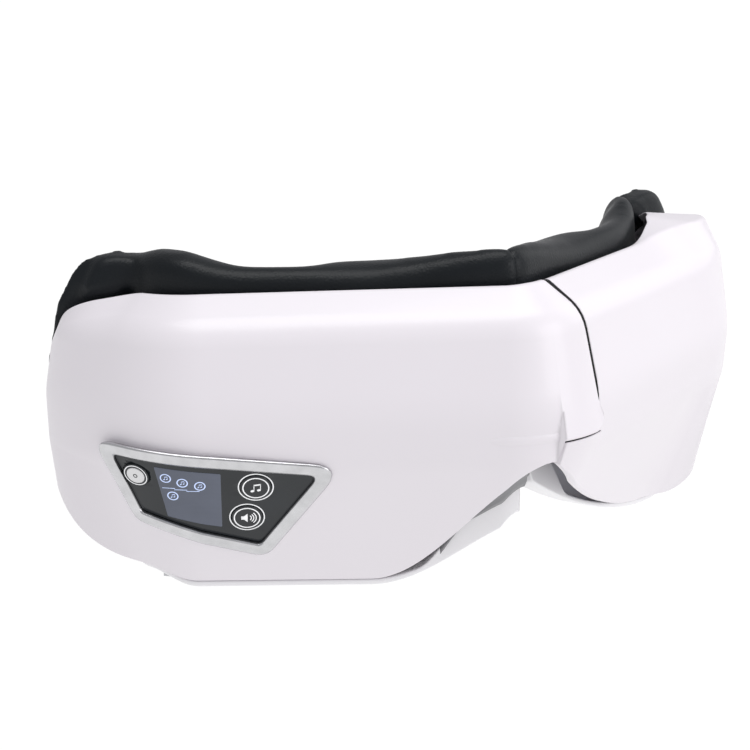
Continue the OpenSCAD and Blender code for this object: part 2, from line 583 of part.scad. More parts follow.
module strap_slider() {
    p = strap_point(slider_turn);
    d = strap_point(slider_turn + 2) - strap_point(slider_turn - 2);
    color("black") translate([p[0], p[1], strap_low(slider_turn) + strap_w / 2])
        rotate([0, 0, atan2(d[1], d[0])])
            difference() {
                cube([9, 5, strap_w + 7], center = true);
                cube([12, strap_t + 1.8, strap_w + 4.8], center = true);
            }
}

left_front_shell();
right_front_shell();
left_rear_casing();
right_rear_casing();
left_face_pad();
right_face_pad();
left_airbag();
right_airbag();
left_heating_film();
right_heating_film();
left_vibration_motor();
right_vibration_motor();
left_air_pump();
right_air_pump();
left_air_valve();
right_air_valve();
left_speaker();
right_speaker();
left_screws();
right_screws();
nose_gaiter();
hinge_frame();
hinge_arm();
hinge_pin();
friction_washers();
panel_bezel();
panel_glass();
display_module();
panel_board();
power_button();
music_button();
volume_button();
button_switches();
main_board();
battery();
charging_port();
left_strap_anchor();
right_strap_anchor();
head_strap();
strap_slider();
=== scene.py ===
"""Looks of the folding eye massager mask, in the same frame and with the same sizes as its CAD part.

A place on a lobe is (s, depth, z) in millimetres: along the front line from the fold plane, depth
into the body from that line, and height over the table. side is -1 for the panel's lobe, 1 for the other.
"""
import math

import bmesh
import bpy
from mathutils import Matrix, Vector
from mathutils.bvhtree import BVHTree


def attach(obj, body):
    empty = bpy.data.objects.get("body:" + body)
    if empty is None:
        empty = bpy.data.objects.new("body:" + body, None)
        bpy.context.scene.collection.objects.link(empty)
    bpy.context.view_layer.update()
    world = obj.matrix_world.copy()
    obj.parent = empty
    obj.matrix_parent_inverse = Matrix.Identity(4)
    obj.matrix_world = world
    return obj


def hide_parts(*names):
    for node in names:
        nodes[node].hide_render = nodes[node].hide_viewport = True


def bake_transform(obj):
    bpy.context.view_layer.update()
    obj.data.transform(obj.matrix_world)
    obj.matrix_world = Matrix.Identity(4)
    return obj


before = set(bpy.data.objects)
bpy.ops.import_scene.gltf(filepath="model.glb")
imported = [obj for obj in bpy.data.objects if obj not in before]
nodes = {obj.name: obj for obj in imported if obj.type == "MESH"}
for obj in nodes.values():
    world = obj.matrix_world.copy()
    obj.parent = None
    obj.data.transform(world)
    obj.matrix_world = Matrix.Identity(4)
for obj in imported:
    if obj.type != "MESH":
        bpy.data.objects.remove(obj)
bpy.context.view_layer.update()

MM = 0.001
LEFT, RIGHT = -1, 1
BODY = {LEFT: "left_half", RIGHT: "right_half"}
WORD = {LEFT: "left", RIGHT: "right"}

# ---------- driving sizes, as in the CAD part ----------
SHELL_H, BROW_LEN, BROW_LEAN = 70.0, 68.4, math.radians(28.5)
NOSE_R, TEMPLE_R, TEMPLE_TURN = 26.5, 38.0, math.radians(73)
WALL, LIP_H, LIP_T = 2.2, 1.6, 1.3
RIDGE_Z, BEVEL_Z = 37.3, 63.8
FOOT_IN, BEVEL_IN, TOP_IN, TOP_FALL = 16.7, 6.4, 16.4, 0.0235
NOTCH_H, NOTCH_REACH, RIGHT_REACH, LIP_NOTCH_H = 31.5, 43.0, 84.0, 17.0
TAB_TURN, TAB_STEP, FOLD_RANGE = math.radians(31), 1.85, math.radians(85)
WALL_IN, WALL_OUT, LIP_IN = 22.3, 24.5, 17.1
BODY_DEPTH = 146.5
EYE_S, EYE_Z, EYE_W, EYE_H = 42.0, 38.0, 43.0, 39.0
STRAP_W, STRAP_T, STRAP_BACK, ANCHOR_Z = 26.0, 1.6, 62.0, 35.0
SLEEVE_R, HINGE_Z0, HINGE_Z1 = 6.6, 40.0, 61.5
POWER_R, KEY_R = 3.1, 3.5
PANEL_WINDOW = [(55.6, 30.6), (103.6, 35.2), (99.6, 20.6), (68.4, 12.2)]
POWER_AT, MUSIC_AT, VOLUME_AT = (98.4, 30.2), (69.4, 27.6), (71.4, 19.4)
DISPLAY_AT = [(77.2, 31.4), (93.2, 33.0), (91.8, 19.6), (77.0, 16.8)]
PORT_S, PORT_IN = 92.0, 20.9

NOSE_LEN = NOSE_R * BROW_LEAN
BROW_END = NOSE_LEN + BROW_LEN
END_S = BROW_END + TEMPLE_R * TEMPLE_TURN
TAB_S = -NOSE_R * TAB_TURN
BARREL_S = -NOSE_R * (FOLD_RANGE - TAB_TURN + math.radians(7))
FACE_TILT = math.atan(FOOT_IN / RIDGE_Z)
RIDGE = LIP_H + RIDGE_Z


# ---------- the front line and places on it ----------
def clamp(v, lo, hi):
    return max(lo, min(hi, v))


def smooth(t):
    t = clamp(t, 0.0, 1.0)
    return t * t * (3 - 2 * t)


def steps(a, b, n):
    return [a + (b - a) * i / n for i in range(n + 1)]


def turn_at(s):
    if s < NOSE_LEN:
        return s / NOSE_R
    return BROW_LEAN + max(0.0, s - BROW_END) / TEMPLE_R


def place(s, depth, z, side=RIGHT):
    """The point in the row frame, in metres."""
    b = turn_at(s)
    if s < NOSE_LEN:
        x, y = NOSE_R * math.sin(b), NOSE_R * (1 - math.cos(b))
    else:
        flat = min(s, BROW_END) - NOSE_LEN
        x = NOSE_R * math.sin(BROW_LEAN) + flat * math.cos(BROW_LEAN)
        y = NOSE_R * (1 - math.cos(BROW_LEAN)) + flat * math.sin(BROW_LEAN)
        x += TEMPLE_R * (math.sin(b) - math.sin(BROW_LEAN))
        y += TEMPLE_R * (math.cos(BROW_LEAN) - math.cos(b))
    x -= depth * math.sin(b)
    y += depth * math.cos(b) - BODY_DEPTH / 2
    return Vector((side * x, y, z)) * MM


def end_drop(s):
    c = clamp((s - END_S + 12) / 12.5, 0, 1)
    return 3 * smooth((s - END_S + 26) / 26) + 6 * (1 - math.sqrt(1 - c * c))


def top_at(s):
    return LIP_H + SHELL_H - TOP_FALL * max(s, 0) - end_drop(s)


def bevel_at(s):
    return LIP_H + BEVEL_Z - TOP_FALL * max(s, 0) - end_drop(s)


def flatness(s, side):
    """The section goes flatter toward the temple, and sooner on the right, which has no panel."""
    if side == LEFT:
        return 1 - 0.65 * smooth((s - 106) / 24)
    return 1 - 0.5 * smooth((s - 72) / 34)


def shelf(s, side):
    """Extra depth of the right lobe's broad top, less round the hinge."""
    if side == LEFT:
        return 0.0
    return -1.8 if s < 0 else 5.5 * smooth((s - 62) / 30)


def front_in(z):
    if z < RIDGE:
        return FOOT_IN * (1 - (z - LIP_H) / RIDGE_Z)
    return BEVEL_IN * (z - RIDGE) / (BEVEL_Z - RIDGE_Z)


def temple_rise(s):
    return 3.5 * smooth((s - 84) / 22) + 17 * clamp((s - END_S + 26) / 26, 0, 1) ** 2.4


def shell_edge(s, side):
    if side == LEFT:
        if s < 0:
            return RIDGE - 0.6
        return LIP_H + temple_rise(s) + NOTCH_H * (0.5 + 0.5 * math.cos(math.pi * min(s / NOTCH_REACH, 1)))
    if s < 0:
        return LIP_H + NOTCH_H + 2
    return LIP_H + temple_rise(s) + (NOTCH_H - 0.6) * clamp(1 - s / RIGHT_REACH, 0, 1) ** 1.7


def lip_edge(s, side):
    if side == LEFT:
        return temple_rise(s) + LIP_NOTCH_H * (0.5 + 0.5 * math.cos(math.pi * min(s / NOTCH_REACH, 1)))
    return shell_edge(max(s, 0), RIGHT) - LIP_H


def skirt_h(s):
    return LIP_T + 0.05 + 6.8 * smooth((32 - s) / 12)


# ---------- mesh helpers ----------
def rounded(corners, arc=5):
    """A closed profile of (depth, height, radius) corners with each corner turned into an arc."""
    out = []
    n = len(corners)
    for i in range(n):
        p = Vector(corners[i][:2])
        a = Vector(corners[i - 1][:2]) - p
        b = Vector(corners[(i + 1) % n][:2]) - p
        reach = corners[i][2] / max(math.tan(a.angle(b, math.pi / 2) / 2), 0.05)
        reach = min(reach, 0.45 * a.length, 0.45 * b.length)
        start, end = p + a.normalized() * reach, p + b.normalized() * reach
        for k in range(arc + 1):
            t = k / arc
            out.append(start * (1 - t) ** 2 + p * 2 * t * (1 - t) + end * t * t)
    return out


def new_object(name, points, faces, material, other=None, others=()):
    """A closed mesh object. The faces whose numbers are in others get the other material."""
    mesh = bpy.data.meshes.new(name)
    mesh.from_pydata([tuple(p) for p in points], [], faces)
    mesh.materials.append(material)
    if other:
        mesh.materials.append(other)
        for number in others:
            mesh.polygons[number].material_index = 1
    made = bmesh.new()
    made.from_mesh(mesh)
    bmesh.ops.remove_doubles(made, verts=made.verts, dist=1e-7)
    bmesh.ops.recalc_face_normals(made, faces=made.faces)
    made.to_mesh(mesh)
    made.free()
    mesh.shade_smooth()
    obj = bpy.data.objects.new(name, mesh)
    bpy.context.scene.collection.objects.link(obj)
    return obj


def bridge(rings, closed=True, caps=True):
    """Faces between rings of points, each as long as the next, with flat caps on a closed tube."""
    m = len(rings[0])
    faces = []
    for i in range(len(rings) - 1):
        for j in range(m if closed else m - 1):
            k = (j + 1) % m
            faces.append((i * m + j, (i + 1) * m + j, (i + 1) * m + k, i * m + k))
    if caps and closed:
        faces.append(tuple(range(m)))
        faces.append(tuple(range((len(rings) - 1) * m, len(rings) * m)))
    return [p for ring in rings for p in ring], faces


def sweep(name, stations, profile, material, side):
    """Sweeps profile(s), a closed list of (depth, height), along the lobe."""
    rings = [[place(s, q[0], q[1], side) for q in profile(s)] for s in stations]
    return new_object(name, *bridge(rings), material)


def tube(name, path, radius, material, sides=8, closed=True):
    """A round tube along a path of points in metres, tapered to nothing nowhere."""
    rings = []
    n = len(path)
    for i, p in enumerate(path):
        a, b = (path[i - 1], path[(i + 1) % n]) if closed else (path[max(i - 1, 0)], path[min(i + 1, n - 1)])
        along = (b - a).normalized()
        u = along.cross(Vector((0.31, 0.17, 0.93))).normalized()
        v = along.cross(u)
        rings.append([p + radius * (u * math.cos(t) + v * math.sin(t))
                      for t in [2 * math.pi * k / sides for k in range(sides)]])
    if closed:
        rings.append(rings[0])
    return new_object(name, *bridge(rings, caps=not closed), material)


def apply_modifiers(obj):
    """Turns what the modifiers make into the object's own mesh."""
    depsgraph = bpy.context.evaluated_depsgraph_get()
    mesh = bpy.data.meshes.new_from_object(obj.evaluated_get(depsgraph))
    obj.modifiers.clear()
    obj.data = mesh
    return obj


def cut(obj, cutter):
    """Takes the cutter's space out of the object."""
    modifier = obj.modifiers.new("cut", "BOOLEAN")
    modifier.operation = "DIFFERENCE"
    modifier.solver = "EXACT"
    modifier.object = cutter
    apply_modifiers(obj)
    bpy.data.objects.remove(cutter)
    return obj


def keep_normals(obj, source):
    """Gives a cut skin the shading of the whole one, so the cut's long faces don't show."""
    modifier = obj.modifiers.new("normals", "DATA_TRANSFER")
    modifier.object = source
    modifier.use_loop_data = True
    modifier.data_types_loops = {"CUSTOM_NORMAL"}
    modifier.loop_mapping = "POLYINTERP_NEAREST"
    apply_modifiers(obj)
    bpy.data.objects.remove(source)


def even_shading(obj):
    """Keeps the broad faces flat-looking beside their rounded edges."""
    modifier = obj.modifiers.new("even", "WEIGHTED_NORMAL")
    modifier.weight = 80
    return obj


# ---------- materials ----------
def build(name, color, roughness, metallic=0.0):
    """A principled material and the handles that the makers below need."""
    material = bpy.data.materials.new(name)
    material.use_nodes = True
    tree = material.node_tree
    shader = tree.nodes["Principled BSDF"]
    shader.inputs["Base Color"].default_value = (*color, 1)
    shader.inputs["Roughness"].default_value = roughness
    shader.inputs["Metallic"].default_value = metallic
    where = tree.nodes.new("ShaderNodeTexCoord").outputs["Object"]
    return material, tree, shader, where


def link(tree, a, b):
    tree.links.new(a, b)


def noise_at(tree, where, scale, detail=3.0, stretch=None):
    """A noise texture's value, with features 1 / scale metres across."""
    if stretch:
        mapping = tree.nodes.new("ShaderNodeMapping")
        mapping.inputs["Scale"].default_value = stretch
        link(tree, where, mapping.inputs["Vector"])
        where = mapping.outputs["Vector"]
    node = tree.nodes.new("ShaderNodeTexNoise")
    node.inputs["Scale"].default_value = scale
    node.inputs["Detail"].default_value = detail
    link(tree, where, node.inputs["Vector"])
    return node.outputs["Fac"]


def ramp(tree, value, low, high):
    """Maps a value from 0..1 to low..high."""
    node = tree.nodes.new("ShaderNodeMapRange")
    node.inputs["To Min"].default_value = low
    node.inputs["To Max"].default_value = high
    link(tree, value, node.inputs["Value"])
    return node.outputs["Result"]


def tint(tree, value, dark, light):
    """A colour from dark to light as the value goes from 0.3 to 0.7."""
    node = tree.nodes.new("ShaderNodeValToRGB")
    node.color_ramp.elements[0].position = 0.3
    node.color_ramp.elements[1].position = 0.7
    node.color_ramp.elements[0].color = (*dark, 1)
    node.color_ramp.elements[1].color = (*light, 1)
    link(tree, value, node.inputs["Fac"])
    return node.outputs["Color"]


def bump(tree, shader, height, strength, distance=0.0002):
    node = tree.nodes.new("ShaderNodeBump")
    node.inputs["Strength"].default_value = strength
    node.inputs["Distance"].default_value = distance
    link(tree, height, node.inputs["Height"])
    link(tree, node.outputs["Normal"], shader.inputs["Normal"])


def shade(color, k):
    return tuple(c * k for c in color)


def moulded(name, color, roughness, grain=900.0, relief=0.05, mottle=0.03, metallic=0.0, coat=0.0,
            uneven=0.18):
    """Moulded or coated hard material: faint mottling, uneven gloss and a fine skin."""
    material, tree, shader, where = build(name, color, roughness, metallic)
    broad = noise_at(tree, where, 38.0)
    tone = tint(tree, broad, shade(color, 1 - mottle), shade(color, 1 + mottle))
    link(tree, tone, shader.inputs["Base Color"])
    fine = noise_at(tree, where, grain, 2.0)
    gloss = ramp(tree, broad, roughness * (1 - uneven), roughness * (1 + uneven))
    link(tree, gloss, shader.inputs["Roughness"])
    bump(tree, shader, fine, relief)
    shader.inputs["Coat Weight"].default_value = coat
    shader.inputs["Coat Roughness"].default_value = 0.06
    return material


def brushed(name, color, roughness, stretch=(30.0, 30.0, 900.0)):
    """Metal with fine drawn lines."""
    material, tree, shader, where = build(name, color, roughness, 1.0)
    lines = noise_at(tree, where, 1.0, 4.0, stretch)
    link(tree, tint(tree, lines, shade(color, 0.9), shade(color, 1.06)), shader.inputs["Base Color"])
    link(tree, ramp(tree, lines, roughness * 0.75, roughness * 1.25), shader.inputs["Roughness"])
    bump(tree, shader, lines, 0.06)
    return material


def leather(name, color, roughness=0.46):
    """Soft leatherette: pebbled cells, finer pores between them, and handling shine."""
    material, tree, shader, where = build(name, color, roughness)
    cells = tree.nodes.new("ShaderNodeTexVoronoi")
    cells.feature = "DISTANCE_TO_EDGE"
    cells.inputs["Scale"].default_value = 1150.0
    link(tree, where, cells.inputs["Vector"])
    pores = noise_at(tree, where, 2600.0, 2.0)
    add = tree.nodes.new("ShaderNodeMath")
    add.operation = "MULTIPLY_ADD"
    add.inputs[1].default_value = 0.35
    link(tree, pores, add.inputs[0])
    link(tree, cells.outputs["Distance"], add.inputs[2])
    broad = noise_at(tree, where, 45.0)
    link(tree, tint(tree, broad, shade(color, 0.86), shade(color, 1.16)), shader.inputs["Base Color"])
    link(tree, ramp(tree, broad, roughness * 0.85, roughness * 1.2), shader.inputs["Roughness"])
    bump(tree, shader, add.outputs["Value"], 0.3, 0.00025)
    shader.inputs["Specular IOR Level"].default_value = 0.22
    shader.inputs["Sheen Weight"].default_value = 0.05
    shader.inputs["Sheen Roughness"].default_value = 0.4
    return material


def woven(name, color, pitch=0.0011, relief=0.55):
    """Webbing or knit: crossing rows of yarn, with painted highlight on the crowns and painted shade in the
    gaps.
    """
    material, tree, shader, where = build(name, color, 0.85)
    heights = []
    for direction in ("X", "Z"):
        wave = tree.nodes.new("ShaderNodeTexWave")
        wave.wave_type = "BANDS"
        wave.bands_direction = direction
        wave.inputs["Scale"].default_value = 1 / pitch / 6.28 * 2
        wave.inputs["Distortion"].default_value = 0.6
        link(tree, where, wave.inputs["Vector"])
        heights.append(wave.outputs["Fac"])
    weave = tree.nodes.new("ShaderNodeMath")
    weave.operation = "MULTIPLY"
    link(tree, heights[0], weave.inputs[0])
    link(tree, heights[1], weave.inputs[1])
    # Colour follows the yarn heights: painted shade in the gaps and painted highlight on the crowns.
    tone = tint(tree, weave.outputs["Value"], shade(color, 0.5), shade(color, 1.5))
    link(tree, tone, shader.inputs["Base Color"])
    bump(tree, shader, weave.outputs["Value"], relief, 0.0004)
    shader.inputs["Sheen Weight"].default_value = 0.35
    return material


def clear_black(name, color):
    """Polished dark window with a faint haze and hairline wear."""
    material, tree, shader, where = build(name, color, 0.08)
    haze = noise_at(tree, where, 60.0)
    link(tree, ramp(tree, haze, 0.05, 0.14), shader.inputs["Roughness"])
    link(tree, tint(tree, haze, shade(color, 0.8), shade(color, 1.25)), shader.inputs["Base Color"])
    hairs = noise_at(tree, where, 1.0, 2.0, (1400.0, 90.0, 300.0))
    bump(tree, shader, hairs, 0.015)
    return material


def lit(name, color, glow):
    """Backlit print or display: even colour with a weak glow and fine pixel rows."""
    material, tree, shader, where = build(name, color, 0.25)
    wave = tree.nodes.new("ShaderNodeTexWave")
    wave.bands_direction = "Z"
    wave.inputs["Scale"].default_value = 900.0
    link(tree, where, wave.inputs["Vector"])
    broad = noise_at(tree, where, 70.0)
    mixed = tree.nodes.new("ShaderNodeMath")
    mixed.operation = "MULTIPLY_ADD"
    mixed.inputs[1].default_value = 0.15
    link(tree, wave.outputs["Fac"], mixed.inputs[0])
    link(tree, broad, mixed.inputs[2])
    out = tint(tree, mixed.outputs["Value"], shade(color, 0.85), shade(color, 1.12))
    link(tree, out, shader.inputs["Base Color"])
    link(tree, out, shader.inputs["Emission Color"])
    shader.inputs["Emission Strength"].default_value = glow
    return material


WHITE = moulded("white_lacquer", (0.80, 0.765, 0.805), 0.34, 700.0, 0.015, 0.004, coat=0.1, uneven=0.06)
SATIN_WHITE = moulded("satin_white", (0.86, 0.85, 0.87), 0.34, 1400.0, 0.05, 0.012)
PAD = leather("pad_leatherette", (0.005, 0.007, 0.009), 0.38)
PIPING = leather("pad_piping", (0.006, 0.008, 0.01), 0.5)
THREAD = woven("pad_thread", (0.05, 0.055, 0.065), 0.0003)
KNIT = woven("airbag_knit", (0.05, 0.056, 0.064), 0.0009)
# Near-black for the right lobe's recess beside the left band's tab: painted shade for the dark gap there,
# not a real seal.
PAINTED_SEAM_SHADE = moulded("painted_seam_shade", (0.012, 0.012, 0.014), 0.5, 1500.0, 0.1, 0.05)
GAITER = moulded("gaiter_elastomer", (0.27, 0.27, 0.28), 0.5, 1800.0, 0.2, 0.08)
WEBBING = woven("strap_webbing", (0.03, 0.03, 0.034), 0.0013, 0.7)
SILVER = brushed("bezel_silver", (0.62, 0.62, 0.635), 0.24, (260.0, 260.0, 260.0))
BLACK_GLASS = clear_black("panel_window", (0.012, 0.015, 0.018))
DISPLAY = lit("display_lit", (0.075, 0.085, 0.115), 0.3)
ICON = lit("display_icon", (0.42, 0.5, 0.72), 0.75)
PRINT = lit("key_print", (0.82, 0.83, 0.84), 0.25)
KEY_BLACK = moulded("key_black", (0.014, 0.017, 0.02), 0.2, 1500.0, 0.04, 0.05)
SILVER_KEY = moulded("key_silver", (0.7, 0.7, 0.71), 0.3, 1500.0, 0.04, 0.02, 0.6)
BLACK_PLASTIC = moulded("black_plastic", (0.018, 0.018, 0.02), 0.42, 1600.0, 0.2, 0.08)
STEEL = brushed("drawn_steel", (0.5, 0.5, 0.52), 0.32)
BRASS = brushed("sheet_brass", (0.62, 0.45, 0.2), 0.34)
BOARD = moulded("solder_mask", (0.02, 0.14, 0.06), 0.35, 1200.0, 0.15, 0.15)
SLEEVE = moulded("battery_sleeve", (0.03, 0.09, 0.28), 0.3, 300.0, 0.2, 0.05)
NATURAL = moulded("natural_plastic", (0.62, 0.6, 0.52), 0.45, 1200.0, 0.1, 0.03)
AMBER = moulded("heating_film", (0.42, 0.18, 0.04), 0.3, 300.0, 0.1, 0.1)

CARRIED_OVER = {
    STEEL: ["left_vibration_motor", "right_vibration_motor", "left_air_pump", "right_air_pump",
            "left_screws",
            "right_screws", "hinge_frame", "hinge_arm", "hinge_pin", "charging_port"],
    NATURAL: ["left_air_valve", "right_air_valve"],
    BLACK_PLASTIC: ["left_speaker", "right_speaker", "left_strap_anchor", "right_strap_anchor",
                    "strap_slider"],
    BRASS: ["friction_washers", "button_switches"],
    BOARD: ["panel_board", "main_board"],
    SLEEVE: ["battery"],
    AMBER: ["left_heating_film", "right_heating_film"],
}
for material, names in CARRIED_OVER.items():
    for name in names:
        nodes[name].data.materials.clear()
        nodes[name].data.materials.append(material)
for name in ("left_strap_anchor", "right_strap_anchor", "strap_slider"):
    rounding = nodes[name].modifiers.new("rounded", "BEVEL")
    rounding.width = 0.5 * MM
    rounding.segments = 3
    rounding.limit_method = "ANGLE"


# ---------- front shells ----------
LAP = NOSE_R * TAB_TURN + 0.4       # how far the left brow band reaches over the right lobe


def shell_profile(s, side, shrink=0.0):
    """shrink draws the outer face in, for the rounded end of a lobe."""
    k, wide, lo = flatness(s, side), shelf(s, side), shell_edge(s, side)
    lapped = side == RIGHT and s < LAP + 0.1
    step, sink = (TAB_STEP, 1.6) if lapped else (0.0, 0.0)
    foot_step = TAB_STEP if side == RIGHT and s < 0.6 else 0.0
    bev, top = bevel_at(s) - sink, top_at(s) - sink + 0.4 * wide
    wall = WALL if side == RIGHT else 1.5 + (WALL - 1.5) * smooth((s - NOSE_LEN) / 12)
    if side == LEFT and s < 0:
        d = clamp(1 - (s - TAB_S) / 3, 0, 1)
        lo += 3 * (1 - math.sqrt(1 - d * d))
        top -= 1.2 * (1 - math.sqrt(1 - d * d))
    back = TOP_IN + wide + step
    crest = min(TOP_IN * k + step - 0.8, back - 0.8)
    on_band = side == LEFT and s < 0
    low_z = RIDGE - 1.25 if lapped else RIDGE - 5.5
    low_z = max(low_z, lo + 0.35)
    high_z = RIDGE - 0.95 if lapped else max(RIDGE + 6, lo + 1.5)
    low_r, high_r = (0.2, 0.2) if lapped else (16, 26)
    low_in = 0.15 if on_band else front_in(min(low_z, RIDGE)) * k + 0.25
    high_in = 0.55 if lapped else front_in(high_z) * k + 0.1
    foot = 0.3 if on_band else front_in(lo) * k
    bend = 1.2 if on_band else 2.4
    return rounded([
        (foot + foot_step + shrink, lo, 0.5), (low_in + foot_step + shrink, low_z, low_r),
        (high_in + step + shrink, high_z, high_r), (BEVEL_IN * k + step + shrink, bev, 11),
        (crest + shrink, top, 2.0), (back + 0.9, top - 0.6 + 0.3 * wide, 0.4),
        (back - 0.6, top - 2.1 + 0.3 * wide, 0.3), (BEVEL_IN * k + step + wall, bev - 1.2, 1.2),
        (step + wall + 0.3, max(RIDGE, lo + 1.0), bend), (foot + foot_step + wall + 0.1, lo + 0.02, 0.4)])


def panel_outline(grow, radius, arc=8):
    """Outline round the panel's window as (s, z), grown outwards and with rounded corners."""
    n = len(PANEL_WINDOW)
    centre = sum((Vector(p) for p in PANEL_WINDOW), Vector((0, 0))) / n
    lines = []
    for i in range(n):
        a, b = Vector(PANEL_WINDOW[i]), Vector(PANEL_WINDOW[(i + 1) % n])
        normal = Vector((b.y - a.y, a.x - b.x)).normalized()
        if normal.dot((a + b) / 2 - centre) < 0:
            normal = -normal
        lines.append((a + normal * grow, (b - a).normalized()))
    corners = []
    for i in range(n):
        p, d = lines[i - 1]
        q, e = lines[i]
        t = (q - p).cross(e) / d.cross(e)
        corners.append((*(p + d * t), radius))
    return [Vector(p) for p in rounded(corners, arc)]


def on_face(p, depth, side=LEFT):
    """A point of the lower face at (s, z), sunk by depth."""
    return place(p[0], front_in(p[1]) + depth, p[1], side)


def resample(loop, step):
    """Points about step apart round a closed loop of 2-D points."""
    out = []
    for i, p in enumerate(loop):
        q = loop[(i + 1) % len(loop)]
        n = max(1, int(round((q - p).length / step)))
        out += [p.lerp(q, k / n) for k in range(n)]
    return out


def filled(loops, step):
    """Matching loops with the first one's long edges divided, so that they can follow a curved face."""
    first = loops[0]
    counts = [max(1, round((first[(i + 1) % len(first)] - p).length / step)) for i, p in enumerate(first)]
    return [[p.lerp(loop[(i + 1) % len(loop)], k / counts[i])
             for i, p in enumerate(loop) for k in range(counts[i])] for loop in loops]


def end_stations(start, end, spacing):
    """Stations along a lobe, closer where its end rounds off."""
    return steps(start, end - 13, int((end - 13 - start) / spacing)) + steps(end - 12, end - 1.4, 14)


def front_shell(side):
    arc_points = 6
    if side == LEFT:
        stations = [TAB_S + 0.35 * (1 - math.cos(math.pi / 2 * k / 5)) for k in range(5)]
        stations += steps(TAB_S + 0.5, -0.25, 18) + steps(0.0, NOTCH_REACH, 40)
        stations += end_stations(NOTCH_REACH + 1.5, END_S, 1.3)
    else:
        stations = steps(BARREL_S, -0.4, 30) + [0.5, 0.8] + steps(1.5, LAP, 14) + [LAP + 0.3]
        stations += end_stations(LAP + 1.2, END_S, 1.3)
    stations += [END_S - 0.9 + 0.9 * math.sin(math.pi / 2 * k / 5) for k in range(6)]

    def profile(s):
        ends = clamp(1 - (END_S - s) / 0.9, 0, 1)
        if side == LEFT:
            ends = max(ends, clamp(1 - (s - TAB_S) / 0.35, 0, 1) * 0.5)
        return shell_profile(s, side, 0.9 * (1 - math.sqrt(1 - ends * ends)))

    rings = [[place(s, q[0], q[1], side) for q in profile(s)] for s in stations]
    points, faces = bridge(rings)
    # The recess's ledge and end wall beside the tab get the near-black material: painted shade for the gap
    # under the tab's edge.
    seam_shade_faces = []
    if side == RIGHT:
        m = len(rings[0])
        for i, s in enumerate(stations[:-1]):
            if 0.7 < s < LAP + 0.2:
                last = 5 if s > LAP - 1.2 else 2
                seam_shade_faces += [i * m + j for j in range(2 * arc_points - 1, last * arc_points)]
    obj = new_object(WORD[side] + "_front_shell_skin", points, faces, WHITE, PAINTED_SEAM_SHADE, seam_shade_faces)
    even_shading(obj)
    if side == LEFT:
        outline = resample(panel_outline(2.0, 3.2), 1.5)
        rings = [[on_face(p, d) for p in outline] for d in (-6, 6)]
        whole = obj.copy()
        whole.data = obj.data.copy()
        bpy.context.scene.collection.objects.link(whole)
        apply_modifiers(whole)
        obj.modifiers.clear()
        cut(obj, new_object("panel_cutter", *bridge(rings), WHITE))
        keep_normals(obj, whole)
    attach(obj, BODY[side])
    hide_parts(WORD[side] + "_front_shell")
    return obj


# ---------- rear casings ----------
def rear_casing(side):
    def profile(s):
        lo = lip_edge(s, side)
        low = s < NOSE_LEN + 7
        top = lo + LIP_T + 0.5 if low else bevel_at(s) - 1.6
        mid = lo + LIP_T + 0.25 if low else top - 1.2
        sk = lo + skirt_h(s)
        front = WALL_IN - 0.2 if s < 30 else 11.6
        return rounded([
            (LIP_IN, lo, 0.6), (WALL_OUT, lo, 0.6), (WALL_OUT, top, 0.5), (front, top, 0.3),
            (front, mid, 0.3),
            (WALL_IN, mid, 0.2), (WALL_IN, lo + LIP_T, 0.2), (PORT_IN - 1.8, lo + LIP_T, 0.2),
            (PORT_IN - 1.8, sk, 0.35), (LIP_IN, sk, 0.5)], 4)

    stations = steps(0.15, NOSE_LEN + 6.8, 24) + steps(NOSE_LEN + 7.2, 29.8, 8)
    stations += end_stations(30.3, END_S, 1.1) + [END_S - 1]
    obj = sweep(WORD[side] + "_rear_casing_skin", stations, profile, SATIN_WHITE, side)
    if side == LEFT:
        slot = [(PORT_S + 2.95 * sign + 1.45 * math.cos(a), PORT_IN + 1.45 * math.sin(a))
                for sign, first in ((1, -90), (-1, 90))
                for a in [math.radians(first + 15 * k) for k in range(13)]]
        rings = [[place(s, d, z, side) for s, d in slot] for z in (-2, 4)]
        cut(obj, new_object("port_cutter", *bridge(rings), SATIN_WHITE))

    def end_profile(s):
        lo, top = shell_edge(s, LEFT) + 0.6, bevel_at(s) - 3.6
        return rounded([
            (WALL + 6, lo, 0.5), (WALL_IN + 0.6, lo, 0.5), (WALL_IN + 0.6, top, 0.5),
            (BEVEL_IN + WALL + 1, top, 0.5), (WALL + 1.6, RIDGE, 1.0)], 4)

    plate = sweep("end_plate", [END_S - 3.2, END_S - 1.7, END_S - 1.2], end_profile, SATIN_WHITE, side)
    join([obj, plate])
    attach(even_shading(obj), BODY[side])
    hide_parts(WORD[side] + "_rear_casing")
    return obj


def join(objects):
    """Joins the later objects' meshes into the first."""
    made = bmesh.new()
    slots = []
    for obj in objects:
        start = len(made.faces)
        made.from_mesh(obj.data)
        made.faces.ensure_lookup_table()
        for face in made.faces[start:]:
            material = obj.data.materials[face.material_index]
            if material not in slots:
                slots.append(material)
            face.material_index = slots.index(material)
    objects[0].data.materials.clear()
    for material in slots:
        objects[0].data.materials.append(material)
    made.to_mesh(objects[0].data)
    made.free()
    for obj in objects[1:]:
        bpy.data.objects.remove(obj)
    return objects[0]


